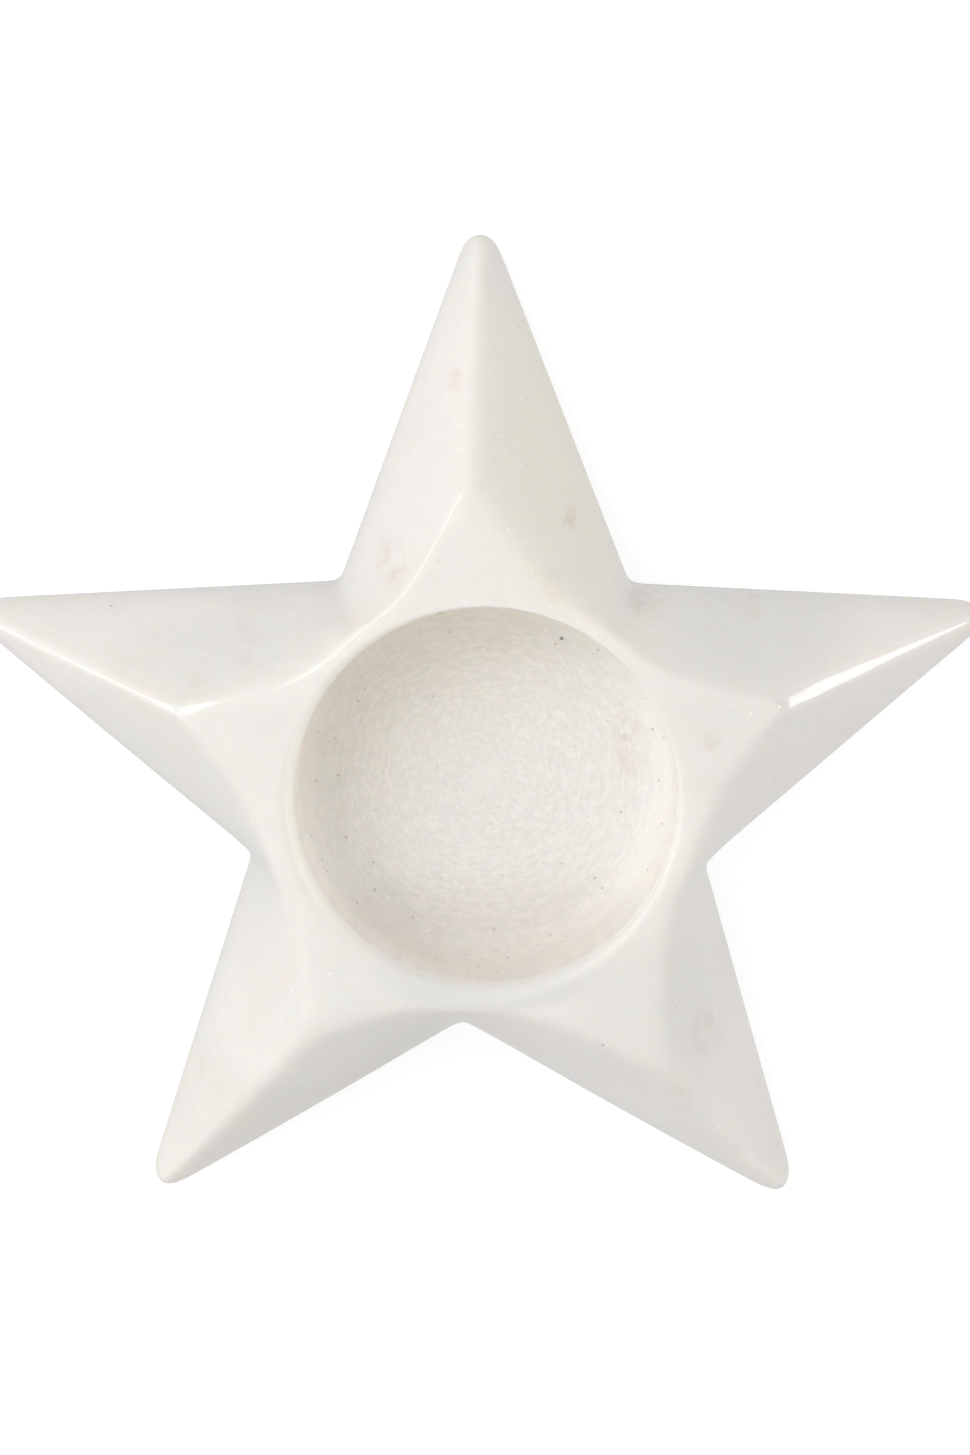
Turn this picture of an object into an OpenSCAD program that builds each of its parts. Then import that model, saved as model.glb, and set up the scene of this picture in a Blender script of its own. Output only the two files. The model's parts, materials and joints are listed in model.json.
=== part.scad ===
// Tealight holder: a five-pointed star carved from one block of marble, with a
// round milled recess for a tealight. It stands on five felt feet, one stuck
// under each arm.
//
// Units are millimetres and +Z is up. The first arm points along +Y. The
// origin is on the table, at the middle of the star's bounding box.

/* [Star outline] */
// Distance from the star's centre to the nose of an arm
tip_r = 63.1; // [58:0.1:72]
// Distance from the star's centre to the corner between two arms
notch_r = 28.6; // [27.5:0.1:31]
// Half the width of an arm's blunt nose
nose_w = 1.6; // [1:0.05:3]
// Distance over which a nose rounds out to that width
nose_l = 0.7; // [0.5:0.05:2]

/* [Carved top] */
// Height of the stone, without its feet
stone_h = 23.4; // [20:0.1:28]
// Distance from the star's centre to the shoulder where a ridge meets the flat top
shoulder_r = 36.8; // [34:0.1:42]
// Distance from the star's centre to the flat top's edge behind a corner
waist_r = 24.9; // [24.4:0.1:26]
// Height of a ridge above the underside, at the nose
nose_h = 5.1; // [4:0.1:8]
// Height of the side wall's top beside the nose
side_tip_h = 2.4; // [2:0.1:3.5]
// Height of the side wall's top at a corner between two arms
side_notch_h = 8.5; // [5:0.1:12]

/* [Edges] */
// How far the rounding at the side wall's top edge reaches
side_round = 1.0; // [0.4:0.1:1.4]
// How far the rounding along the flat top's edge reaches
top_round = 0.5; // [0.2:0.1:0.6]
// Height of the bevel around the underside
base_bevel = 0.7; // [0.3:0.1:1.5]
// How much the hand carving departs from a regular star: 0 not at all, 1 in full
hand_carved = 1; // [0:0.1:1]

/* [Tealight recess] */
// Radius of the recess's straight wall
recess_r = 22.0; // [20.5:0.1:22.0]
// Depth of the recess below the flat top
recess_depth = 15; // [12:0.1:16]
// Radius of the rounded lip
lip_round = 1.4; // [0.5:0.1:1.4]
// Radius of the cove between the wall and the floor
cove_round = 4.5; // [1:0.1:5]
// How far the recess's axis lies to the right of the star's centre
recess_x = 1.0; // [-1:0.1:1]
// How far the recess's axis lies towards the first arm
recess_y = 0.9; // [-1:0.1:1]

/* [Feet] */
// Diameter of a felt foot
foot_d = 10; // [6:0.5:12]
// Thickness of the felt
foot_h = 1.5; // [1:0.1:3]
// Diameter of a foot's adhesive film
film_d = 9.6; // [5:0.1:12]
// Thickness of the adhesive film
film_h = 0.15; // [0.1:0.01:0.3]
// Distance from the star's centre to the middle of a foot
foot_r = 40; // [34:0.5:44]

/* [Hidden] */

arms = 5;
arm_step = 360 / arms;
first_arm = 90;

// Departures from a regular star, for each arm from the first one
// anticlockwise: outwards in millimetres, and anticlockwise in degrees.
// A corner or a waist belongs to the arm that it follows.
tip_out = [0.9, -0.8, 0.2, -0.1, -0.3];
tip_turn = [0.3, 0.4, -0.8, 0.6, 0.4];
notch_out = [-0.3, -0.5, 0.4, 0.1, 0.5];
notch_turn = [-0.1, 0.5, -3.0, -1.5, -1.9];
shoulder_out = [0.9, -0.6, -1.9, 2.1, -0.1];
shoulder_turn = [2.1, 1.0, 0.5, -0.8, 1.0];
waist_out = [-0.4, -0.2, -0.4, 1.0, 0.2];

// How a column of points is divided
stations = 16;
facet_steps = 4;
foot_fn = 64;
recess_fn = 128;
arc_steps = 6;

// Height of the stone's underside above the table
stone_z = foot_h + film_h;
floor_z = stone_h - recess_depth;
// The cutter for the recess reaches this far above the stone
clear = 2;

function polar(r, a) = [r * cos(a), r * sin(a)];
function mix(a, b, t) = a + (b - a) * t;
function arm_angle(i) = first_arm + arm_step * i;
function wrap(i) = (i + arms) % arms;

// The tip, shoulder, corner and waist, as [radius, angle]. The side is 1 for
// the arm's anticlockwise side, and -1 for its clockwise side.
function tip_at(i) = [
    tip_r + hand_carved * tip_out[i],
    arm_angle(i) + hand_carved * tip_turn[i]
];
function shoulder_at(i) = [
    shoulder_r + hand_carved * shoulder_out[i],
    arm_angle(i) + hand_carved * shoulder_turn[i]
];
function side_index(i, side) = side > 0 ? i : wrap(i - 1);
function notch_at(i, side) = [
    notch_r + hand_carved * notch_out[side_index(i, side)],
    arm_angle(i) + side * arm_step / 2 + hand_carved * notch_turn[side_index(i, side)]
];
function waist_at(i, side) = [
    waist_r + hand_carved * waist_out[side_index(i, side)],
    notch_at(i, side)[1]
];

// One column of the surface stands at station k of an arm's side, from the
// nose (k = 0) to the corner (k = stations). Its distance from the nose,
// measured along the arm:
function notch_dist(i, side) = tip_at(i)[0]
    - notch_at(i, side)[0] * cos(notch_at(i, side)[1] - tip_at(i)[1]);
function notch_width(i, side) =
    notch_at(i, side)[0] * abs(sin(notch_at(i, side)[1] - tip_at(i)[1]));
function station_dist(i, side, k) = notch_dist(i, side) * pow(k / stations, 2);

// Half the arm's width at that distance: straight sides, and a rounded nose
function straight_width(i, side, d) =
    mix(nose_w, notch_width(i, side), d / notch_dist(i, side));
function real_width(i, side, d) =
    straight_width(i, side, d) - nose_w * (1 - sqrt(1 - exp(-d / nose_l)));

// Height of the side wall's top. A nose is cut through the ridge, so the wall
// is higher there.
function ridge_h(i, d) =
    mix(nose_h, stone_h, min(1, d / (tip_at(i)[0] - shoulder_at(i)[0])));
function wall_h(i, side, d) = let (
    low = mix(side_tip_h, side_notch_h, d / notch_dist(i, side)),
    inside = 1 - real_width(i, side, d) / straight_width(i, side, d)
) mix(low, ridge_h(i, d), inside);

// The column's foot on the outline and its head on the flat top's edge. The
// flat top's edge bends round each corner of the star as a cubic in the angle.
function outline_xy(i, side, d) = let (
    a = tip_at(i)[1],
    along = polar(tip_at(i)[0] - d, a),
    across = polar(real_width(i, side, d), a + side * 90)
) along + across;
function share(i, side, d) = let (
    x = tip_at(i)[0] - d,
    y = real_width(i, side, d)
) atan2(y, x) / abs(notch_at(i, side)[1] - tip_at(i)[1]);
function top_xy(i, side, t) = let (
    from = shoulder_at(i),
    to = waist_at(i, side)
) polar(to[0] + (from[0] - to[0]) * pow(1 - t, 3), mix(from[1], to[1], t));

function at_height(p, z) = [p[0], p[1], z];
function toward(a, b, dist) = a + (b - a) * dist / norm(b - a);
// A rounded corner at b between a and c, at t along it
function bend(a, b, c, t) = mix(mix(a, b, t), mix(b, c, t), t);

// All the points of one column, from the underside's edge to the flat top
function column(i, side, k) = let (
    d = station_dist(i, side, k),
    wall = outline_xy(i, side, d),
    wall_top = at_height(wall, wall_h(i, side, d)),
    head = at_height(top_xy(i, side, share(i, side, d)), stone_h),
    middle = [0, 0, stone_h],
    wall_a = wall_top - [0, 0, side_round],
    wall_c = toward(wall_top, head, side_round * 1.5),
    head_a = toward(head, wall_top, top_round),
    head_c = toward(head, middle, top_round)
) concat(
    [
        at_height(toward(wall, [0, 0], base_bevel), 0),
        at_height(wall, base_bevel),
        wall_a,
        bend(wall_a, wall_top, wall_c, 0.33),
        bend(wall_a, wall_top, wall_c, 0.67)
    ],
    [for (s = [0 : facet_steps]) mix(wall_c, head_a, s / facet_steps)],
    [bend(head_a, head, head_c, 0.5), head_c]
);

// The columns run anticlockwise: up one side of each arm to its nose, and
// down the other side to the next corner, which starts the next arm.
function arm_columns(i) = concat(
    [for (k = [stations : -1 : 1]) column(i, -1, k)],
    [for (k = [0 : stations - 1]) column(i, 1, k)]
);
columns = [for (i = [0 : arms - 1]) each arm_columns(i)];
column_count = len(columns);
rings = len(columns[0]);

outline = [for (c = columns) c[1]];
xs = [for (p = outline) p[0]];
ys = [for (p = outline) p[1]];
// The star's centre, seen from the middle of its bounding box
centre = [-(max(xs) + min(xs)) / 2, -(max(ys) + min(ys)) / 2, 0];

// Points of the ring j of the column c, and the faces between them
function point_index(c, j) = (c % column_count) * rings + j;
function skin_faces() = [
    for (c = [0 : column_count - 1], j = [0 : rings - 2], half = [0, 1])
        half == 0
            ? [point_index(c, j), point_index(c, j + 1), point_index(c + 1, j)]
            : [point_index(c + 1, j), point_index(c, j + 1), point_index(c + 1, j + 1)]
];
function cap_faces(hub, j, up) = [
    for (c = [0 : column_count - 1])
        up
            ? [hub, point_index(c + 1, j), point_index(c, j)]
            : [hub, point_index(c, j), point_index(c + 1, j)]
];

module carved_star() {
    skin_points = [for (c = columns) each c];
    under_hub = len(skin_points);
    top_hub = under_hub + 1;
    polyhedron(
        points = concat(skin_points, [[0, 0, 0], [0, 0, stone_h]]),
        faces = concat(
            skin_faces(),
            cap_faces(under_hub, 0, false),
            cap_faces(top_hub, rings - 1, true)
        ),
        convexity = 6
    );
}

// Points on a quarter circle about [x, z], from one angle to another
function arc(x, z, r, from, to) =
    [for (s = [0 : arc_steps]) [x, z] + polar(r, mix(from, to, s / arc_steps))];

module recess_cutter() {
    cove_x = recess_r - cove_round;
    lip_x = recess_r + lip_round;
    lip_z = stone_h - lip_round;
    translate([recess_x, recess_y, 0])
    rotate_extrude($fn = recess_fn)
        polygon(concat(
            [[0, floor_z]],
            arc(cove_x, floor_z + cove_round, cove_round, -90, 0),
            arc(lip_x, lip_z, lip_round, 180, 90),
            [[lip_x, stone_h + clear], [0, stone_h + clear]]
        ));
}

module star_body() {
    color("#efeae0")
    translate(centre + [0, 0, stone_z])
    difference() {
        carved_star();
        recess_cutter();
    }
}

module under_arm(i) {
    translate(centre + at_height(polar(foot_r, tip_at(i)[1]), 0))
        children();
}

module felt_foot(i) {
    color("#d9d4c8")
    under_arm(i)
        cylinder(d = foot_d, h = foot_h, $fn = foot_fn);
}

module adhesive_film(i) {
    color("#f4efcf")
    under_arm(i)
    translate([0, 0, foot_h])
        cylinder(d = film_d, h = film_h, $fn = foot_fn);
}

star_body();
for (i = [0 : arms - 1]) {
    felt_foot(i);
    adhesive_film(i);
}
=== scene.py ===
import json
import math

import bpy
import numpy as np
from mathutils import Matrix, Vector


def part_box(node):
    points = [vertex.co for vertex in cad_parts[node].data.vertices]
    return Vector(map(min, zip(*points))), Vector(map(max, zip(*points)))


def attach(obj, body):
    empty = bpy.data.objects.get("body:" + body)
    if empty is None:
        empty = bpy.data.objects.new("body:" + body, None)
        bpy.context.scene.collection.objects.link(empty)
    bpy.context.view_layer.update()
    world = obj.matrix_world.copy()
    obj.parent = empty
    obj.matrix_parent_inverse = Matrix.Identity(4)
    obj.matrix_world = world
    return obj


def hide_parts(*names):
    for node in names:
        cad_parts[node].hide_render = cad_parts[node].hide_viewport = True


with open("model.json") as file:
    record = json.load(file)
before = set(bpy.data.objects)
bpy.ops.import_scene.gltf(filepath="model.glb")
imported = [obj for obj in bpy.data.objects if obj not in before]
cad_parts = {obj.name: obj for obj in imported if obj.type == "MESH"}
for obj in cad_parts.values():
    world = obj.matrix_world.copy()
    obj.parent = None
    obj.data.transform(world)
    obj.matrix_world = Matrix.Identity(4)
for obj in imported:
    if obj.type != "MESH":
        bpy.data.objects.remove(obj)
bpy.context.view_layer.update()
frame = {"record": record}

# ---------------------------------------------------------------- dimensions
# The star's own dimensions, as in the CAD source, in metres. Positions come
# from the frame: the recess's axis is a mount, and the heights are boxes.
MM = 0.001
STONE_LOW, STONE_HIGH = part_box("star_body")
STONE_Z = STONE_LOW.z
STONE_H = STONE_HIGH.z - STONE_LOW.z
MOUNTS = {m["name"]: m for m in frame["record"]["mounts"]}
RECESS = np.array(MOUNTS["tealight_recess"]["pos_m"][:2])
RECESS_R = MOUNTS["tealight_recess"]["dims"]["r_mm"] * MM
FLOOR_H = MOUNTS["tealight_seat"]["pos_m"][2] - STONE_Z
STAR = RECESS - np.array([1.0, 0.9]) * MM
COVE = 4.5 * MM

ARMS = 5
NOSE_W = 1.6 * MM
NOSE_L = 0.7 * MM
SIDE_TIP_H = 2.4 * MM
SIDE_NOTCH_H = 8.5 * MM
# For each arm from the one at the back, anticlockwise. A corner or a waist
# belongs to the arm that it follows.
ARM_A = np.radians(90 + 72 * np.arange(ARMS))
TIP_R = (63.1 + np.array([0.9, -0.8, 0.2, -0.1, -0.3])) * MM
TIP_A = ARM_A + np.radians([0.3, 0.4, -0.8, 0.6, 0.4])
NOTCH_R = (28.6 + np.array([-0.3, -0.5, 0.4, 0.1, 0.5])) * MM
NOTCH_A = ARM_A + np.radians(36 + np.array([-0.1, 0.5, -3.0, -1.5, -1.9]))
SHOULDER_R = (36.8 + np.array([0.9, -0.6, -1.9, 2.1, -0.1])) * MM
SHOULDER_A = ARM_A + np.radians([2.1, 1.0, 0.5, -0.8, 1.0])
WAIST_R = (24.9 + np.array([-0.4, -0.2, -0.4, 1.0, 0.2])) * MM

# How the polishing rounded the stone
EDGE_BLURS = np.array([0.16, 0.55, 1.4]) * MM
SIDE_ROUND = 1.7 * MM
CORNER_BLUR = 0.8 * MM
BASE_ROUND = 0.6 * MM
# The lip's width and depth where it is sharpest and where it is most worn, the
# angle where that is, and the power of its superellipse
LIP_SHARP, LIP_WORN = (0.15 * MM, 0.5 * MM), (2.4 * MM, 2.6 * MM)
LIP_WORN_A = math.radians(235)
LIP_POWER = 2.3
# Faint waves left by hand polishing, less on the flat top
WAVE_SIZE, WAVE_HEIGHT = 4.5 * MM, 0.03 * MM
FLAT_WAVE = 0.3
POLISHED_OFF = 0.05 * MM
CONVEX = 0.03

# How finely the stone is meshed
COLUMNS = 900
RECESS_COLUMNS = 360
HUB_COLUMNS = 90
DISC_COLUMNS = 144
SIDE_POINTS = 200
NEARBY_EDGES = 90
FACET_RINGS, FLAT_RINGS, RING_EASE = 40, 14, 1.4
CURVE_RINGS = 13
GRID_STEP = 0.2 * MM
GRID_HALF = 72 * MM

rng = np.random.default_rng(7)


# ------------------------------------------------------------------- helpers
def mix(a, b, t):
    return a + (b - a) * t


def smooth_step(x, low, high):
    t = np.clip((x - low) / (high - low), 0, 1)
    return t * t * (3 - 2 * t)


def turn(a):
    """An angle brought into -pi to pi."""
    return (a + math.pi) % math.tau - math.pi


def polar(r, a):
    return np.stack([r * np.cos(a), r * np.sin(a)], -1)


# ------------------------------------------------------- the carved surface
class Side:
    """One side of one arm: the edge from its nose to the corner, and the facet above it."""

    def __init__(self, arm, side):
        corner = arm if side > 0 else arm - 1
        self.arm, self.side = arm, side
        self.notch_a = abs(turn(NOTCH_A[corner] - TIP_A[arm]))
        self.waist_r = WAIST_R[corner]
        self.length = TIP_R[arm] - NOTCH_R[corner] * math.cos(self.notch_a)
        self.slope = (NOTCH_R[corner] * math.sin(self.notch_a) - NOSE_W) / self.length

    def share(self, r, a):
        """How far an angle lies from the ridge, 0, towards the corner, 1."""
        arm, side = self.arm, self.side
        along = np.clip((TIP_R[arm] - r) / (TIP_R[arm] - SHOULDER_R[arm]), 0, 1)
        ridge = side * turn(SHOULDER_A[arm] - TIP_A[arm]) * along
        return (side * turn(a - TIP_A[arm]) - ridge) / (self.notch_a - ridge)

    def flat_r(self, t):
        """Radius of the flat top's edge."""
        return self.waist_r + (SHOULDER_R[self.arm] - self.waist_r) * (1 - t) ** 3

    def height(self, r, a):
        """The sharp facet's height, and the share."""
        raw = self.share(r, a)
        t = np.clip(raw, 0, 1)
        base_a = t * self.notch_a
        reach = NOSE_W + self.slope * TIP_R[self.arm]
        base_r = reach / (np.sin(base_a) + self.slope * np.cos(base_a))
        dist = TIP_R[self.arm] - base_r * np.cos(base_a)
        base_h = mix(SIDE_TIP_H, SIDE_NOTCH_H, dist / self.length)
        fall = (STONE_H - base_h) * (r - self.flat_r(t)) / (base_r - self.flat_r(t))
        # The facet is slightly convex between the ridge or the flat top's edge and the side.
        from_ridge = r * t * self.notch_a + 1e-6
        from_flat = np.maximum(r - self.flat_r(t), 0) + 1e-6
        down = 1 / (1 / from_ridge + 1 / from_flat)
        out = np.maximum(base_r - r, 0) * np.sin(np.arctan(self.slope) + base_a)
        bulge = 4 * CONVEX * down * out / (down + out)
        return STONE_H - np.maximum(fall - bulge, 0), raw

    def beside_ridge(self, r, offset):
        """The sharp facet's height at a distance across from the ridge."""
        along = np.clip((TIP_R[self.arm] - r) / (TIP_R[self.arm] - SHOULDER_R[self.arm]), 0, 1)
        ridge = TIP_A[self.arm] + turn(SHOULDER_A[self.arm] - TIP_A[self.arm]) * along
        return self.height(r, ridge + self.side * offset / r)[0]

    def outline(self, count):
        """Points from the nose to just short of the corner."""
        share = np.arange(count) / count
        d = self.length * (0.7 * share**2 + 0.3 * share**3)
        width = NOSE_W + self.slope * d - NOSE_W * (1 - np.sqrt(1 - np.exp(-d / NOSE_L)))
        along = polar(TIP_R[self.arm] - d, TIP_A[self.arm])
        return along + polar(width, TIP_A[self.arm] + self.side * math.pi / 2)


SIDES = [Side(arm, side) for arm in range(ARMS) for side in (-1, 1)]


def flat_edge_r(a):
    """Radius of the flat top's edge at an angle about the star's centre."""
    edge = np.zeros_like(a)
    for s in SIDES:
        t = s.share(SHOULDER_R[s.arm], a)
        edge = np.where((t >= 0) & (t <= 1), s.flat_r(np.clip(t, 0, 1)), edge)
    return edge


def blur(field, size):
    """The field, blurred by a gaussian of that size in metres."""
    fy = np.fft.fftfreq(field.shape[0], GRID_STEP)[:, None]
    fx = np.fft.rfftfreq(field.shape[1], GRID_STEP)[None, :]
    keep = np.exp(-2 * (math.pi * size) ** 2 * (fx**2 + fy**2))
    return np.fft.irfft2(np.fft.rfft2(field) * keep, s=field.shape)


# How soft the polishing left the edges: the angle in degrees, the radius in mm,
# and 0 for crisp to 1 for soft
SOFTNESS = [
    (91, 61, 0.5), (91, 54, 0.8), (91, 48, 0.9), (92, 42, 0.9), (88, 36, 1.0),
    (93, 38, 0.9), (96, 35.6, 0.1), (103, 33, 0.0), (112, 29, 0.0), (120, 27, 0.1),
    (128, 26, 0.3), (82, 33, 1.0), (74, 30, 1.0), (66, 28, 0.9), (59, 26, 0.6),
    (52, 26, 0.3), (162, 60, 0.0), (162, 54, 0.0), (162, 48, 0.0), (162, 42, 0.0),
    (163, 36, 0.0), (158, 34.5, 0.0), (153, 31, 0.6), (145, 28, 0.9), (136, 26, 0.8),
    (172, 32, 0.6), (182, 29, 0.8), (190, 27, 0.7), (198, 26, 0.5), (234, 60, 0.6),
    (234, 52, 0.9), (234, 44, 1.0), (234, 36, 1.0), (224, 32, 1.0), (215, 29, 0.9),
    (206, 27, 0.8), (245, 31, 0.8), (254, 28, 0.7), (267, 26, 0.5), (306, 60, 0.6),
    (306, 52, 0.9), (305, 45, 1.0), (305, 39, 1.0), (296, 34, 0.9), (286, 30, 0.8),
    (277, 27, 0.7), (314, 34, 1.0), (322, 31, 0.9), (332, 28, 0.8), (340, 27, 0.6),
    (18, 60, 0.0), (18, 54, 0.0), (18, 48, 0.0), (18, 43, 0.0), (19, 37, 0.3),
    (28, 33, 0.6), (37, 30, 0.6), (45, 27, 0.5), (9, 33, 0.8), (0, 30, 0.9),
    (350, 28, 0.8),
]  # fmt: skip


# The arms whose ridge ends in a narrow polished flat: the arm, the flat's width
# at the shoulder and at the nose, and how evenly it narrows
RIDGE_FLATS = [(1, 1.5 * MM, 0.35 * MM, 0.35), (4, 2.2 * MM, 0.8 * MM, 1)]


# The left arm's shoulder was polished flat: the arm, where that flat starts from
# the shoulder, and its direction downhill, slope and reach
SHOULDER_CUT = (1, np.array([0.45, -1.3]) * MM, math.radians(115.2), 0.36, 11 * MM)


def softness(x, y):
    """The table's values, weighted by how near each point is."""
    weight = total = 0
    for a, r, value in SOFTNESS:
        px, py = polar(r * MM, math.radians(a))
        w = 1 / ((x - px) ** 2 + (y - py) ** 2 + (2 * MM) ** 2) ** 2
        weight, total = weight + w, total + w * value
    return total / weight


def carved_top():
    """The top's height over a grid about the star's centre: facets, rounded and faintly waved."""
    axis = np.arange(-GRID_HALF, GRID_HALF, GRID_STEP)
    x, y = np.meshgrid(axis, axis)
    r, a = np.hypot(x, y), np.arctan2(y, x)
    sharp = np.full(x.shape, STONE_H)
    for s in SIDES:
        height, t = s.height(r, a)
        sharp = np.where((t >= 0) & (t <= 1), height, sharp)
    for arm, wide, narrow, evenness in RIDGE_FLATS:
        back, front = SIDES[2 * arm], SIDES[2 * arm + 1]
        at_r = np.linspace(SHOULDER_R[arm], TIP_R[arm] + 8 * MM, 300)
        out = (at_r - SHOULDER_R[arm]) / (TIP_R[arm] - SHOULDER_R[arm])
        half = mix(wide, narrow, np.maximum(out, 0) ** evenness) / 2
        low = np.interp(r, at_r, back.beside_ridge(at_r, half))
        high = np.interp(r, at_r, front.beside_ridge(at_r, half))
        half = np.interp(r, at_r, half)
        inward = 1 - np.clip((r - SHOULDER_R[arm]) / (TIP_R[arm] - SHOULDER_R[arm]), 0, 1)
        ridge = TIP_A[arm] + turn(SHOULDER_A[arm] - TIP_A[arm]) * inward
        across = r * turn(a - ridge) / half
        bevel = mix(low, high, (across + 1) / 2)
        on = (np.abs(across) <= 1) & (r >= SHOULDER_R[arm])
        sharp = np.where(on, np.minimum(sharp, bevel), sharp)
    arm, start, downhill, slope, reach = SHOULDER_CUT
    start = start + polar(SHOULDER_R[arm], SHOULDER_A[arm])
    below = (x - start[0]) * math.cos(downhill) + (y - start[1]) * math.sin(downhill)
    near = np.hypot(x - start[0], y - start[1]) < reach
    sharp = np.where(near, np.minimum(sharp, STONE_H - slope * np.maximum(below, 0)), sharp)
    sharp = np.maximum(sharp, -STONE_H)
    crisp, middle, soft = (blur(sharp, size) for size in EDGE_BLURS)
    how = 2 * softness(x, y)
    height = mix(mix(crisp, middle, np.clip(how, 0, 1)), soft, np.clip(how - 1, 0, 1))
    wave = blur(rng.standard_normal(x.shape), WAVE_SIZE)
    wave *= WAVE_HEIGHT / wave.std()
    flat = smooth_step(height, STONE_H - 1.5 * MM, STONE_H)
    return height + mix(wave, FLAT_WAVE * wave, flat) - POLISHED_OFF


TOP = carved_top()


def cubic_weights(f):
    """Catmull-Rom weights of the four samples around a point."""
    return (
        ((2 - f) * f - 1) * f / 2,
        ((3 * f - 5) * f * f + 2) / 2,
        ((4 - 3 * f) * f + 1) * f / 2,
        (f - 1) * f * f / 2,
    )


def top_height(points):
    """Height of the carved top above the stone's underside."""
    local = (points - STAR + GRID_HALF) / GRID_STEP
    cell = np.floor(local).astype(int)
    wx, wy = (cubic_weights(f) for f in np.moveaxis(local - cell, -1, 0))
    total = 0
    for j in range(4):
        for i in range(4):
            total = total + wy[j] * wx[i] * TOP[cell[..., 1] + j - 1, cell[..., 0] + i - 1]
    return np.minimum(total, STONE_H)


# ------------------------------------------------------------------- outline
def star_outline():
    """The stone's outline, anticlockwise, as evenly spaced points."""
    parts = []
    for back, front in zip(SIDES[::2], SIDES[1::2]):
        corner = polar(NOTCH_R[back.arm - 1], NOTCH_A[back.arm - 1])
        parts += [corner[None], back.outline(SIDE_POINTS)[:0:-1], front.outline(SIDE_POINTS)]
    loop = np.vstack(parts)
    closed = np.vstack([loop, loop[:1]])
    length = np.concatenate([[0], np.cumsum(np.linalg.norm(np.diff(closed, axis=0), axis=1))])
    at = np.linspace(0, length[-1], COLUMNS, endpoint=False)
    even = np.stack([np.interp(at, length, closed[:, k]) for k in (0, 1)], -1)
    # Only the inner corners are rounded: the noses keep their own shape.
    freq = np.fft.fftfreq(COLUMNS, length[-1] / COLUMNS)
    keep = np.exp(-2 * (math.pi * CORNER_BLUR * freq) ** 2)
    soft = np.fft.ifft(np.fft.fft(even @ [1, 1j]) * keep)
    soft = np.stack([soft.real, soft.imag], -1)
    inner = 1 - smooth_step(np.hypot(*even.T), 32 * MM, 42 * MM)
    return mix(even, soft, inner[:, None]) + STAR


LOOP = star_outline()
NEARBY = (np.arange(COLUMNS)[:, None] + np.arange(-NEARBY_EDGES, NEARBY_EDGES)) % COLUMNS
EDGE_A, EDGE_B = LOOP[NEARBY], LOOP[(NEARBY + 1) % COLUMNS]


def edge_distance(points):
    """Distance of each column's point from the outline."""
    along = EDGE_B - EDGE_A
    to = points[:, None] - EDGE_A
    t = np.clip((to * along).sum(-1) / (along * along).sum(-1), 0, 1)
    return np.linalg.norm(to - t[..., None] * along, axis=-1).min(1)


def solve(wanted):
    """For each column, the share of its line at which a rising function reaches 0."""
    low, high = np.zeros(COLUMNS), np.ones(COLUMNS)
    for _ in range(18):
        middle = (low + high) / 2
        past = wanted(middle) > 0
        low, high = np.where(past, low, middle), np.where(past, middle, high)
    return (low + high) / 2


# ------------------------------------------------------------- mesh building
class Skin:
    """Points and faces, gathered ring by ring."""

    def __init__(self):
        self.points, self.faces, self.count = [], [], 0

    def ring(self, xy, z):
        self.points.append(np.column_stack([xy, np.broadcast_to(z, len(xy))]))
        start, self.count = self.count, self.count + len(xy)
        return np.arange(start, self.count)

    def strip(self, a, b):
        """Quads between two rings with as many points."""
        self.faces += np.stack([a, np.roll(a, -1), np.roll(b, -1), b], -1).tolist()

    def stitch(self, a, b, a_at, b_at):
        """Triangles between two rings with different counts, matched by their angles."""
        i = j = 0
        a_end, b_end = a_at[0] + math.tau, b_at[0] + math.tau
        while i < len(a) or j < len(b):
            next_a = a_at[i + 1] if i + 1 < len(a) else a_end
            next_b = b_at[j + 1] if j + 1 < len(b) else b_end
            p, q = int(a[i % len(a)]), int(b[j % len(b)])
            if j == len(b) or (i < len(a) and next_a <= next_b):
                i += 1
                self.faces.append([p, int(a[i % len(a)]), q])
            else:
                j += 1
                self.faces.append([p, int(b[j % len(b)]), q])

    def fan(self, ring, centre, z):
        hub = int(self.ring(np.array([centre]), z)[0])
        self.faces += [[int(p), int(q), hub] for p, q in zip(ring, np.roll(ring, -1))]

    def piece(self, name, material, slot, *nodes):
        """The gathered mesh, kept inside the first node's box, standing for the nodes."""
        low, high = (np.array(corner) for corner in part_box(nodes[0]))
        mesh = bpy.data.meshes.new(name)
        mesh.from_pydata(np.clip(np.vstack(self.points), low, high).tolist(), [], self.faces)
        mesh.materials.append(material)
        mesh.shade_smooth()
        obj = bpy.data.objects.new(name, mesh)
        bpy.context.scene.collection.objects.link(obj)
        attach(obj, "root")
        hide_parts(*nodes)
        return obj


def lip_size(a):
    """Width and depth of the lip's rounding, which is widest at the lower left."""
    worn = 0.5 + 0.5 * np.cos(a - LIP_WORN_A)
    return tuple(mix(sharp, soft, worn) for sharp, soft in zip(LIP_SHARP, LIP_WORN))


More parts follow.
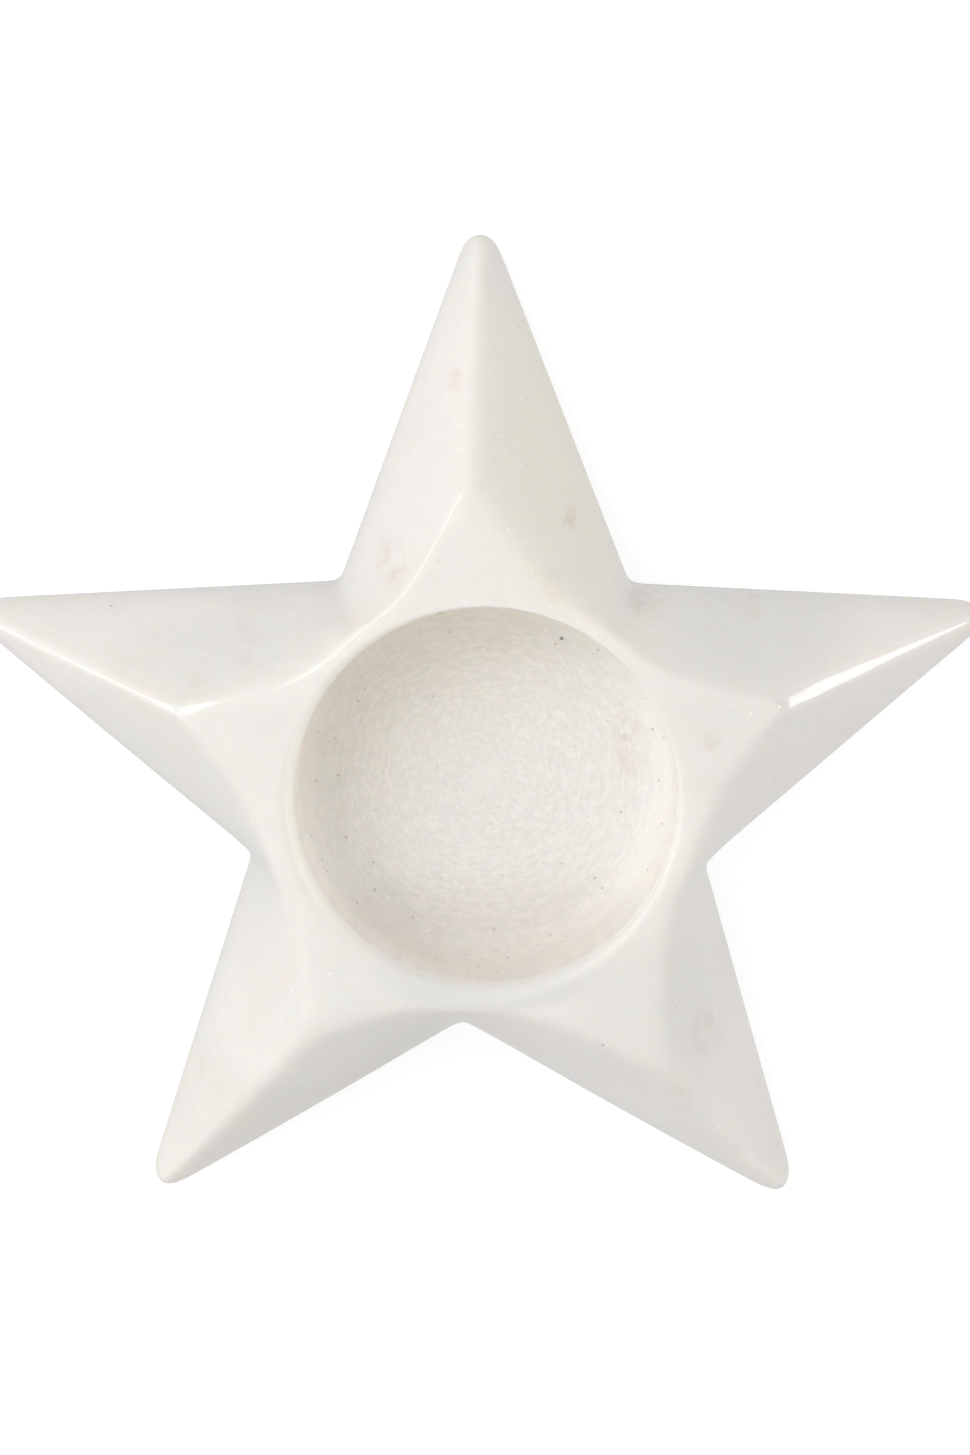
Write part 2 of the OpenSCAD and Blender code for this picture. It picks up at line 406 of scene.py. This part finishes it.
def build_star(material):
    skin = Skin()
    around = np.unwrap(np.arctan2(*(LOOP - RECESS).T[::-1]))
    rim = RECESS + polar(RECESS_R + lip_size(around)[0] + 0.12 * MM, around)

    def on_line(share):
        return mix(LOOP, rim, share[:, None])

    def past_edge(share):
        local = on_line(share) - STAR
        return flat_edge_r(np.arctan2(local[:, 1], local[:, 0])) - np.hypot(*local.T)

    # The underside, its rounded edge and the side wall
    along = np.roll(LOOP, -1, 0) - np.roll(LOOP, 1, 0)
    inward = np.stack([-along[:, 1], along[:, 0]], -1)
    inward /= np.linalg.norm(inward, axis=1, keepdims=True)
    bottom = LOOP + inward * BASE_ROUND
    rings = []
    for scale in (0.35, 0.6, 0.85):
        rings.append(skin.ring(mix(STAR, bottom, scale), STONE_Z))
    for phi in np.linspace(0, math.pi / 2, 6):
        inset = BASE_ROUND * (1 - math.sin(phi))
        rings.append(skin.ring(LOOP + inward * inset, STONE_Z + BASE_ROUND * (1 - math.cos(phi))))
    wall_low = STONE_Z + BASE_ROUND
    wall_high = STONE_Z + top_height(LOOP) - SIDE_ROUND
    for t in (0.33, 0.67):
        rings.append(skin.ring(LOOP, mix(wall_low, wall_high, t)))

    # The rounding at the wall's top, then the facet and the flat top
    for phi in np.radians([0, 10, 22, 34, 46, 58, 70, 80, 90]):
        inset = SIDE_ROUND * (1 - math.cos(phi))
        share = np.zeros(COLUMNS)
        if inset:
            share = solve(lambda u: edge_distance(on_line(u)) - inset)
        spot = on_line(share)
        rings.append(skin.ring(spot, STONE_Z + top_height(spot) - SIDE_ROUND * (1 - math.sin(phi))))
    edge = solve(past_edge)
    for t in 1 - (1 - np.arange(1, FACET_RINGS + 1) / FACET_RINGS) ** RING_EASE:
        spot = on_line(mix(share, edge, t))
        rings.append(skin.ring(spot, STONE_Z + top_height(spot)))
    for t in (np.arange(1, FLAT_RINGS + 1) / FLAT_RINGS) ** RING_EASE:
        spot = on_line(mix(edge, 1, t))
        rings.append(skin.ring(spot, STONE_Z + top_height(spot)))
    for a, b in zip(rings, rings[1:]):
        skin.strip(a, b)

    # The underside's middle
    few = around[0] + math.tau * np.arange(HUB_COLUMNS) / HUB_COLUMNS
    hub = skin.ring(STAR + polar(5 * MM, few), STONE_Z)
    order = np.unwrap(np.arctan2(*(LOOP - STAR).T[::-1]))
    skin.stitch(hub, rings[0], np.unwrap(few), order)
    skin.fan(hub[::-1], STAR, STONE_Z)

    # The recess: lip, wall, cove and floor
    at = around[0] + math.tau * np.arange(RECESS_COLUMNS) / RECESS_COLUMNS
    lip_w, lip_h = lip_size(at)
    lip_z = STONE_Z + top_height(RECESS + polar(RECESS_R + lip_w, at))
    inner = []
    for phi in np.linspace(0, math.pi / 2, CURVE_RINGS):
        across, down = math.sin(phi) ** (2 / LIP_POWER), math.cos(phi) ** (2 / LIP_POWER)
        r = RECESS_R + lip_w * (1 - across)
        inner.append(skin.ring(RECESS + polar(r, at), lip_z - lip_h * (1 - down)))
    cove_top = STONE_Z + FLOOR_H + COVE
    for t in (0.2, 0.4, 0.6, 0.8):
        inner.append(skin.ring(RECESS + polar(RECESS_R, at), mix(lip_z - lip_h, cove_top, t)))
    for phi in np.linspace(0, math.pi / 2, CURVE_RINGS):
        r = RECESS_R - COVE * (1 - math.cos(phi))
        inner.append(skin.ring(RECESS + polar(r, at), cove_top - COVE * math.sin(phi)))
    for r in np.linspace(RECESS_R - COVE, 9 * MM, 8)[1:]:
        inner.append(skin.ring(RECESS + polar(r, at), STONE_Z + FLOOR_H))
    skin.stitch(rings[-1], inner[0], around, at)
    for a, b in zip(inner, inner[1:]):
        skin.strip(a, b)
    last, last_at = inner[-1], at
    for r, count in ((7.5, 180), (5, 120), (3, 60), (1.5, 30), (0.6, 12)):
        next_at = at[0] + math.tau * np.arange(count) / count
        ring = skin.ring(RECESS + polar(r * MM, next_at), STONE_Z + FLOOR_H)
        skin.stitch(last, ring, last_at, next_at)
        last, last_at = ring, next_at
    skin.fan(last, RECESS, STONE_Z + FLOOR_H)
    return skin.piece("marble_star", material, "marble", "star_body")


# ---------------------------------------------------------------- materials
class Finish:
    """A material's node tree, written as expressions."""

    def __init__(self, name, **settings):
        self.material = bpy.data.materials.new(name)
        self.material.use_nodes = True
        self.tree = self.material.node_tree
        self.shader = self.tree.nodes["Principled BSDF"]
        self.set(**settings)
        self.place = self.add("TexCoord").outputs["Object"]

    def feed(self, socket, value):
        if isinstance(value, bpy.types.NodeSocket):
            self.tree.links.new(value, socket)
        else:
            socket.default_value = value

    def set(self, **sockets):
        for name, value in sockets.items():
            self.feed(self.shader.inputs[name.replace("_", " ")], value)

    def add(self, kind, inputs=(), **settings):
        node = self.tree.nodes.new("ShaderNode" + kind)
        for key, value in settings.items():
            setattr(node, key, value)
        for key, value in dict(inputs).items():
            self.feed(node.inputs[key], value)
        return node

    def math(self, how, a, b=0.0):
        return self.add("Math", {0: a, 1: b}, operation=how).outputs[0]

    def times(self, *factors):
        total = factors[0]
        for factor in factors[1:]:
            total = self.math("MULTIPLY", total, factor)
        return total

    def vector(self, how, a, b=(0, 0, 0)):
        node = self.add("VectorMath", {0: a, 1: b}, operation=how)
        return node.outputs["Value" if how in ("LENGTH", "DOT_PRODUCT") else "Vector"]

    def between(self, value, low, high, out_low=0.0, out_high=1.0):
        """A value mapped smoothly from one range to another."""
        inputs = {"Value": value, 1: low, 2: high, 3: out_low, 4: out_high}
        return self.add("MapRange", inputs, interpolation_type="SMOOTHSTEP").outputs[0]

    def near(self, place, x, y, size, strength=1.0, stretch=(1, 1, 0)):
        """That strength near a point, in mm from the place's origin, fading to 0 at the size."""
        away = self.vector("SUBTRACT", place, (x * MM, y * MM, 0))
        away = self.vector("LENGTH", self.vector("MULTIPLY", away, stretch))
        return self.between(away, size * MM, 0.3 * size * MM, 0.0, strength)

    def texture(self, where, detail, rough=0.5, warp=0.0, scale=1.0, output="Fac"):
        """Noise from 0 to 1 over a place that is scaled already."""
        inputs = {"Vector": where, "Scale": scale, "Detail": detail}
        inputs |= {"Roughness": rough, "Distortion": warp}
        return self.add("TexNoise", inputs).outputs[output]

    def noise(self, size, detail, rough, warp=0.0, seed=0.0):
        """Noise from 0 to 1 with features of about that size in metres."""
        where = self.vector("ADD", self.place, (seed, seed * 0.7, -seed * 0.4))
        return self.texture(where, detail, rough, warp, 1 / size)

    def cells(self, size, place=None):
        """Distance from the nearest of points about that far apart, as a share of the size."""
        inputs = {"Vector": place or self.place, "Scale": 1 / size}
        return self.add("TexVoronoi", inputs).outputs["Distance"]

    def blend(self, share, a, b, how="MIX"):
        node = self.add("Mix", {0: share, 6: a, 7: b}, data_type="RGBA", blend_type=how)
        return node.outputs[2]

    def lerp(self, share, a, b):
        return self.add("Mix", {0: share, 2: a, 3: b}, data_type="FLOAT").outputs[0]

    def bump(self, height, depth, normal=None):
        """A bump whose height of 0 to 1 spans that depth in metres."""
        inputs = {"Height": height, "Distance": depth, "Strength": 1.0}
        if normal:
            inputs["Normal"] = normal
        return self.add("Bump", inputs).outputs[0]


def rgb(r, g, b):
    return (r, g, b, 1.0)


# Pinkish-brown flecks in the stone: where from the recess's centre and the size,
# in mm, and the strength
FLECKS = [
    (9.9, 31.1, 1.5, 1.2), (-10.6, 26.6, 2.8, 1.0), (-5.2, 26.2, 2.2, 0.8), (17, 6, 2.4, 1.4),
    (26.3, 6.9, 2.0, 0.6), (8.0, 24.4, 1.6, 0.9), (19.2, 21, 3.0, 0.8), (31.5, 21, 1.8, 0.9),
    (26.5, -29, 3.6, 0.7), (24, -36, 2.6, 0.5), (-3.2, 47.2, 1.6, 0.6), (-27, 16.4, 3.2, 0.5),
    (-33, 12, 2.6, 0.4),
]  # fmt: skip
# Greyer clouds in it, given in the same way
GREY_CLOUDS = [(18, -25, 15, 0.65), (33, 19, 13, 0.8)]


def marble():
    f = Finish("marble_polished", IOR=1.5, Subsurface_Weight=0.55, Subsurface_Scale=1.0)
    f.set(Subsurface_Radius=(3.2 * MM, 2.4 * MM, 1.5 * MM), Subsurface_Anisotropy=0.0)

    # Where the surface is: in the recess, on its wall, or on the underside
    local = f.vector("SUBTRACT", f.place, (*RECESS, 0))
    flat = f.vector("MULTIPLY", local, (1, 1, 0))
    radius = f.vector("LENGTH", flat)
    outward = f.vector("NORMALIZE", flat)
    height = f.add("SeparateXYZ", {0: f.place}).outputs["Z"]
    above = f.math("GREATER_THAN", height, STONE_Z + 0.5 * FLOOR_H)
    in_recess = f.times(f.between(radius, RECESS_R + 0.2 * MM, RECESS_R), above)
    outside = f.times(f.math("SUBTRACT", 1.0, in_recess), above)
    wall_fill_light = f.times(
        f.between(radius, 18 * MM, 21.5 * MM),
        in_recess,
        f.between(height, STONE_Z + 20.5 * MM, STONE_Z + 16 * MM),
    )
    under = f.between(height, STONE_Z + 0.5 * MM, STONE_Z)

    # The body colour: clouds of cream, pink, yellow and grey, and fine grain
    clouds = f.noise(28 * MM, 3, 0.55, warp=0.6)
    cream, warm = rgb(0.80, 0.785, 0.748), rgb(0.85, 0.82, 0.787)
    colour = f.blend(f.between(clouds, 0.35, 0.65), cream, warm)
    pink = f.between(f.noise(17 * MM, 4, 0.6, seed=0.31, warp=0.8), 0.5, 0.72)
    colour = f.blend(f.times(pink, 0.6), colour, rgb(0.83, 0.765, 0.72))
    yellow = f.between(f.noise(22 * MM, 3, 0.5, seed=0.77), 0.52, 0.7, 0.0, 0.25)
    vein_at = f.vector("SUBTRACT", f.place, (STAR[0] + 10 * MM, STAR[1] + 40 * MM, 0))
    vein_away = f.vector("LENGTH", f.vector("MULTIPLY", vein_at, (1, 0.6, 0)))
    vein = f.between(vein_away, 15 * MM, 4 * MM, 0.0, 0.75)
    colour = f.blend(f.math("MAXIMUM", yellow, vein), colour, rgb(0.835, 0.81, 0.70))
    grey = 0.0
    for x, y, size, strength in GREY_CLOUDS:
        grey = f.math("MAXIMUM", grey, f.near(local, x, y, size, strength))
    colour = f.blend(grey, colour, rgb(0.77, 0.755, 0.72))
    grain = f.noise(1.6 * MM, 5, 0.65, seed=0.13)
    colour = f.blend(f.between(grain, 0.3, 0.75, 0.0, 0.10), colour, rgb(0.66, 0.63, 0.57))

    # Pinkish-brown flecks in chosen places, and others low on the sides
    wobble = f.times(f.noise(1.5 * MM, 2, 0.5, seed=0.51), 1.2 * MM)
    shift = f.add("CombineXYZ", {0: wobble}).outputs[0]
    ragged = f.vector("ADD", f.place, shift)
    ragged_local = f.vector("SUBTRACT", ragged, (*RECESS, 0))
    spots = f.between(f.noise(2.6 * MM, 5, 0.65, seed=0.93), 0.40, 0.68)
    low_down = f.between(height, STONE_Z + 13 * MM, STONE_Z + 8 * MM)
    patch = f.times(f.between(f.cells(17 * MM, ragged), 0.24, 0.06), low_down)
    for x, y, size, strength in FLECKS:
        fleck_at = f.near(ragged_local, x, y, size, strength, (1, 0.8, 0))
        patch = f.math("MAXIMUM", patch, fleck_at)
    fleck = f.times(spots, patch)
    colour = f.blend(f.times(fleck, 0.5), colour, rgb(0.70, 0.58, 0.51))

    # Dark specks, and white crystals, which are many in the yellow vein and on
    # the left arm
    speck_place = f.vector("ADD", ragged, (0.013, 0.004, 0.009))
    speck = f.between(f.cells(11 * MM, speck_place), 0.026, 0.014)
    colour = f.blend(f.times(speck, 0.45), colour, rgb(0.32, 0.27, 0.22))
    busy_at = f.vector("SUBTRACT", local, (-30 * MM, 13 * MM, 0))
    busy_away = f.vector("LENGTH", f.vector("MULTIPLY", busy_at, (0.8, 1, 0)))
    busy = f.between(busy_away, 9 * MM, 5 * MM, 0.0, 0.4)
    many = f.math("MAXIMUM", f.math("GREATER_THAN", vein, 0.2), busy)
    large = f.between(f.cells(2.6 * MM), 0.075, 0.045)
    large = f.times(large, f.math("SUBTRACT", 1.0, in_recess))
    small = f.times(f.between(f.cells(1.7 * MM, ragged), 0.12, 0.08), many)
    crystal = f.math("MAXIMUM", large, small)
    colour = f.blend(f.times(crystal, 0.7), colour, rgb(0.97, 0.97, 0.96))

    # The recess was ground, not polished: beige, pitted, with short swirling strokes
    across = f.add("SeparateXYZ", {0: f.vector("MULTIPLY", outward, (9.5, 9.5, 0))})
    swirl = {0: across.outputs[0], 1: across.outputs[1], 2: f.times(radius, 1 / (0.42 * MM))}
    strokes = f.texture(f.add("CombineXYZ", swirl).outputs[0], 3.0, 0.6, 0.45)
    strokes = f.lerp(f.between(radius, 0.8 * MM, 3 * MM), 0.52, strokes)
    pits = f.noise(0.7 * MM, 4, 0.7, seed=0.23)
    dark, light = rgb(0.86, 0.842, 0.816), rgb(0.93, 0.91, 0.885)
    ground = f.blend(f.between(strokes, 0.40, 0.62), dark, light)
    # Painted shade: the low spots of the pits are painted darker.
    ground = f.blend(f.between(pits, 0.35, 0.6, 0.22, 0.0), ground, rgb(0.74, 0.70, 0.64))
    # Painted fill light: the lower wall and cove are painted lighter to lift the shade inside the
    # recess.
    ground = f.blend(f.times(wall_fill_light, 0.6), ground, rgb(0.945, 0.91, 0.85))
    # Painted shade: the recess is darker and warmer towards the back left, where the wall's shadow
    # falls and the light bounced inside it is warm.
    back_left = f.vector("DOT_PRODUCT", local, (-0.6, 0.8, 0))
    recess_darkening = f.between(back_left, -4 * MM, 20 * MM, 0.0, 0.5)
    ground = f.blend(recess_darkening, ground, rgb(1.0, 0.948, 0.836), "MULTIPLY")
    # Darker towards the front of the recess.
    towards_front = f.vector("DOT_PRODUCT", local, (0, -1, 0))
    recess_darkening = f.between(towards_front, 10 * MM, 18 * MM)
    ground = f.blend(recess_darkening, ground, rgb(0.925, 0.905, 0.89), "MULTIPLY")
    # Painted shade: dark dots stand for the shade inside pinholes, more of them near the wall.
    pinhole_size = f.between(radius, 9 * MM, 20 * MM, 0.05, 0.13)
    pinhole_place = f.vector("ADD", f.place, (0.004, 0.009, 0.002))
    pinhole = f.between(f.cells(1.9 * MM, pinhole_place), pinhole_size, 0.03)
    ground = f.blend(f.times(pinhole, 0.75), ground, rgb(0.42, 0.35, 0.28))
    ground = f.blend(f.times(fleck, 0.45), ground, rgb(0.72, 0.60, 0.52))
    ground = f.blend(f.times(speck, 0.8), ground, rgb(0.22, 0.17, 0.13))
    colour = f.blend(f.times(in_recess, 0.85), colour, ground)

    # The underside was sawn and honed
    saw = f.texture(f.vector("MULTIPLY", f.place, (60, 1400, 1)), 3.0, 0.6)
    sawn = f.times(under, f.between(saw, 0.35, 0.7, 0.0, 0.25))
    colour = f.blend(sawn, colour, rgb(0.62, 0.60, 0.55))

    # The lip is dull where it is worn; the top just in front of the recess is painted grey as
    # painted shade, and the worn lip at the left is painted lighter and yellowish as painted light
    at_lip = f.times(f.between(radius, RECESS_R + 1.6 * MM, RECESS_R + 0.4 * MM), above)
    worn = f.between(f.vector("DOT_PRODUCT", outward, (-0.57, -0.82, 0)), -0.1, 0.5)
    dull = f.times(at_lip, worn)
    # Painted shade: grey on the top just in front of the recess.
    near_rim = f.times(outside, f.between(radius, RECESS_R + 4.5 * MM, RECESS_R + 2 * MM))
    front_shade = f.between(f.vector("DOT_PRODUCT", outward, (0, -1, 0)), 0.75, 0.98)
    colour = f.blend(f.times(near_rim, front_shade, 0.75), colour, rgb(0.70, 0.705, 0.69))
    # Painted light: the worn lip at the left is painted lighter and yellowish.
    left_lip_light = f.between(f.vector("DOT_PRODUCT", outward, (-1, 0, 0)), 0.6, 0.95)
    colour = f.blend(f.times(outside, dull, left_lip_light, 0.8), colour, rgb(0.92, 0.90, 0.82))

    # Roughness: the polish is duller on the worn lip and at the left arm's waist
    rough = f.lerp(dull, f.between(grain, 0.3, 0.7, 0.11, 0.19), 0.5)
    rough = f.lerp(f.near(local, -23.5, 11.5, 6), rough, 0.25)
    rough = f.lerp(in_recess, rough, 0.62)
    rough = f.lerp(under, rough, 0.55)
    bump = f.bump(f.noise(0.9 * MM, 3, 0.6, seed=0.4), 0.006 * MM)
    bump = f.bump(f.times(pits, in_recess), 0.16 * MM, bump)
    bump = f.bump(f.times(strokes, in_recess), 0.12 * MM, bump)
    bump = f.bump(f.times(saw, under), 0.05 * MM, bump)
    f.set(Base_Color=colour, Roughness=rough, Normal=bump)
    return f.material


def felt():
    f = Finish("felt_pressed", IOR=1.4, Sheen_Weight=0.4, Sheen_Roughness=0.6)
    clumps = f.noise(1.8 * MM, 4, 0.6, warp=1.2)
    curl = f.texture(f.place, 2.0, scale=700.0, output="Color")
    bent = f.vector("ADD", f.place, f.vector("MULTIPLY", curl, (0.0016, 0.0016, 0.0016)))
    # Fibres lie in three directions, and the highest shows
    mat = 0.0
    for stretch in ((2600, 420, 2600), (420, 2600, 2600), (1500, 1500, 500)):
        fibres = f.texture(f.vector("MULTIPLY", bent, stretch), 2.0)
        mat = f.math("MAXIMUM", mat, fibres)
    # Painted shade: the felt is darker down between the highest fibres.
    fibre_gap_shade, raised = rgb(0.46, 0.43, 0.37), rgb(0.70, 0.67, 0.60)
    colour = f.blend(f.between(mat, 0.5, 0.75), fibre_gap_shade, raised)
    colour = f.blend(f.between(clumps, 0.4, 0.7, 0.0, 0.35), colour, rgb(0.60, 0.56, 0.48))
    bump = f.bump(clumps, 0.25 * MM, f.bump(mat, 0.16 * MM))
    f.set(Base_Color=colour, Roughness=f.between(mat, 0.3, 0.8, 0.98, 0.85), Normal=bump)
    return f.material


def adhesive():
    f = Finish("adhesive_film_clear", IOR=1.47, Transmission_Weight=0.25)
    haze = f.noise(1.2 * MM, 3, 0.6)
    bubbles = f.between(f.cells(1.1 * MM), 0.22, 0.12)
    colour = f.blend(f.between(haze, 0.35, 0.7), rgb(0.80, 0.76, 0.60), rgb(0.88, 0.85, 0.72))
    colour = f.blend(f.times(bubbles, 0.5), colour, rgb(0.93, 0.92, 0.86))
    rough = f.between(haze, 0.3, 0.7, 0.2, 0.4)
    f.set(Base_Color=colour, Roughness=rough, Normal=f.bump(haze, 0.02 * MM))
    return f.material


def paper():
    f = Finish("floor_white", Roughness=0.85, IOR=1.3)
    tone = f.noise(0.25, 2, 0.5)
    colour = f.blend(tone, rgb(0.44, 0.44, 0.44), rgb(0.46, 0.46, 0.46))
    f.set(Base_Color=colour, Emission_Color=rgb(1, 1, 1), Emission_Strength=0.66)
    return f.material


# -------------------------------------------------------------- feet, films
def build_disc(name, material, slot, node, soft_edge, fuzz, seed):
    """A die-cut disc that fills its CAD solid, with a softened edge and a rough surface."""
    low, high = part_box(node)
    centre = np.array([(low.x + high.x) / 2, (low.y + high.y) / 2])
    r, h = (high.x - low.x) / 2, high.z - low.z
    draw = np.random.default_rng(seed)
    at = math.tau * np.arange(DISC_COLUMNS) / DISC_COLUMNS
    skin = Skin()
    rings = []

    def loose(size):
        """Noise round the ring, from -size to 0."""
        raw = draw.standard_normal(DISC_COLUMNS)
        raw = (raw + np.roll(raw, 1) + 0.6 * np.roll(raw, 2)) / 2.6
        return -size * np.clip(0.5 + 0.3 * raw, 0, 1)

    def add_ring(radius, z):
        rings.append(skin.ring(centre + polar(radius, at), z))

    for share in (0.35, 0.6, 0.8, 0.92):
        add_ring(share * r + loose(0), low.z - loose(fuzz * 0.4))
    for phi in np.linspace(0, math.pi / 2, 5):
        out = r - soft_edge * (1 - math.sin(phi)) + loose(fuzz)
        add_ring(out, low.z + soft_edge * (1 - math.cos(phi)) - loose(fuzz * 0.3))
    middle = h - 2 * soft_edge
    for t in (0.25, 0.5, 0.75):
        add_ring(r + loose(fuzz), low.z + soft_edge + middle * t)
    for phi in np.linspace(0, math.pi / 2, 5):
        out = r - soft_edge * (1 - math.cos(phi)) + loose(fuzz)
        add_ring(out, high.z - soft_edge * (1 - math.sin(phi)) + loose(fuzz * 0.3))
    for share in (0.9, 0.6, 0.3):
        add_ring(share * r, high.z + loose(fuzz * 0.2))
    for a, b in zip(rings, rings[1:]):
        skin.strip(a, b)
    skin.fan(rings[0][::-1], centre, low.z)
    skin.fan(rings[-1], centre, high.z)
    return skin.piece(name, material, slot, node)


# ------------------------------------------------------------------- staging
# The camera looks down from the far side, and is level but for a slight roll
LENS, SENSOR = 103.0, 36.0
CAMERA_AWAY = 0.5
CAMERA_TILT = math.radians(10)
CAMERA_ROLL = math.radians(0.59)
CAMERA_AIM = Vector((0.83 * MM, 5.24 * MM, 0))
FLOOR_RINGS = (4.0, 1.5, 0.5, 0.15)
FLOOR_COLUMNS = 96
WORLD_STRENGTH = 0.69
# Soft boxes: the azimuth from +X, elevation, distance, width, height and power
LIGHTS = {
    "strip_left": (173, 18, 0.7, 0.13, 0.22, 0.45),
    "key_left": (180, 42, 0.7, 0.5, 0.4, 0.5),
    "key_back_left": (145, 42, 0.7, 0.26, 0.26, 0.62),
    "glint_back": (128.5, 56, 0.7, 0.1, 0.1, 0.26),
    "overhead": (180, 70, 0.7, 0.5, 0.5, 0.5),
    "strip_right": (11, 17.6, 0.8, 0.32, 0.13, 0.87),
    "fill_right": (0, 45, 0.8, 0.5, 0.4, 0.15),
}


def look_at(obj, target, roll=0.0):
    """Turns an object's -Z to the target, with +Y of the row upwards in its view."""
    forward = (Vector(target) - obj.location).normalized()
    right = forward.cross(Vector((0, 1, 0))).normalized()
    if abs(forward.y) > 0.9:
        right = forward.cross(Vector((0, 0, 1))).normalized()
    up = right.cross(forward)
    axes = Matrix((right, up, -forward)).transposed().to_4x4()
    obj.rotation_euler = (axes @ Matrix.Rotation(roll, 4, "Z")).to_euler()


def add_camera():
    data = bpy.data.cameras.new("camera")
    data.lens, data.sensor_width = LENS, SENSOR
    data.clip_start, data.clip_end = 0.02, 20
    camera = bpy.data.objects.new("camera", data)
    bpy.context.scene.collection.objects.link(camera)
    centre = Vector((*STAR, STONE_Z))
    towards = Vector((0, math.sin(CAMERA_TILT), math.cos(CAMERA_TILT)))
    camera.location = centre + CAMERA_AWAY * towards
    look_at(camera, centre + CAMERA_AIM, CAMERA_ROLL)
    bpy.context.scene.camera = camera


def add_light(name, azimuth, elevation, distance, width, height, power):
    """A soft box at that azimuth from +X and that elevation, turned to the star."""
    data = bpy.data.lights.new(name, "AREA")
    data.shape, data.size, data.size_y, data.energy = "RECTANGLE", width, height, power
    light = bpy.data.objects.new(name, data)
    bpy.context.scene.collection.objects.link(light)
    a, e = math.radians(azimuth), math.radians(elevation)
    centre = Vector((*STAR, STONE_Z + STONE_H / 2))
    towards = Vector((math.cos(e) * math.cos(a), math.cos(e) * math.sin(a), math.sin(e)))
    light.location = centre + distance * towards
    forward = (centre - light.location).normalized()
    light.rotation_euler = forward.to_track_quat("-Z", "Y").to_euler()


def add_floor():
    skin = Skin()
    at = math.tau * np.arange(FLOOR_COLUMNS) / FLOOR_COLUMNS
    rings = [skin.ring(polar(r, at), 0.0) for r in FLOOR_RINGS]
    for a, b in zip(rings, rings[1:]):
        skin.strip(a, b)
    skin.fan(rings[-1], (0.0, 0.0), 0.0)
    mesh = bpy.data.meshes.new("floor")
    mesh.from_pydata(np.vstack(skin.points).tolist(), [], skin.faces)
    mesh.materials.append(paper())
    floor = bpy.data.objects.new("floor", mesh)
    bpy.context.scene.collection.objects.link(floor)
    # The floor's white glow is for the camera: it doesn't light the stone's sides,
    # and isn't mirrored in them.
    floor.visible_diffuse = floor.visible_glossy = False


def add_world():
    world = bpy.data.worlds.new("studio")
    world.use_nodes = True
    background = world.node_tree.nodes["Background"]
    background.inputs["Color"].default_value = rgb(1, 1, 1)
    background.inputs["Strength"].default_value = WORLD_STRENGTH
    bpy.context.scene.world = world


add_camera()
build_star(marble())
felt_look, film_look = felt(), adhesive()
for i in range(1, ARMS + 1):
    build_disc(
        f"felt_pad_{i}", felt_look, "felt", f"felt_foot_{i}",
        soft_edge=0.3 * MM, fuzz=0.14 * MM, seed=20 + i,
    )  # fmt: skip
    build_disc(
        f"glue_film_{i}", film_look, "adhesive", f"adhesive_film_{i}",
        soft_edge=0.04 * MM, fuzz=0.02 * MM, seed=40 + i,
    )  # fmt: skip
add_floor()
add_world()
for light, spec in LIGHTS.items():
    add_light(light, *spec)
bpy.context.scene.view_settings.view_transform = "Standard"
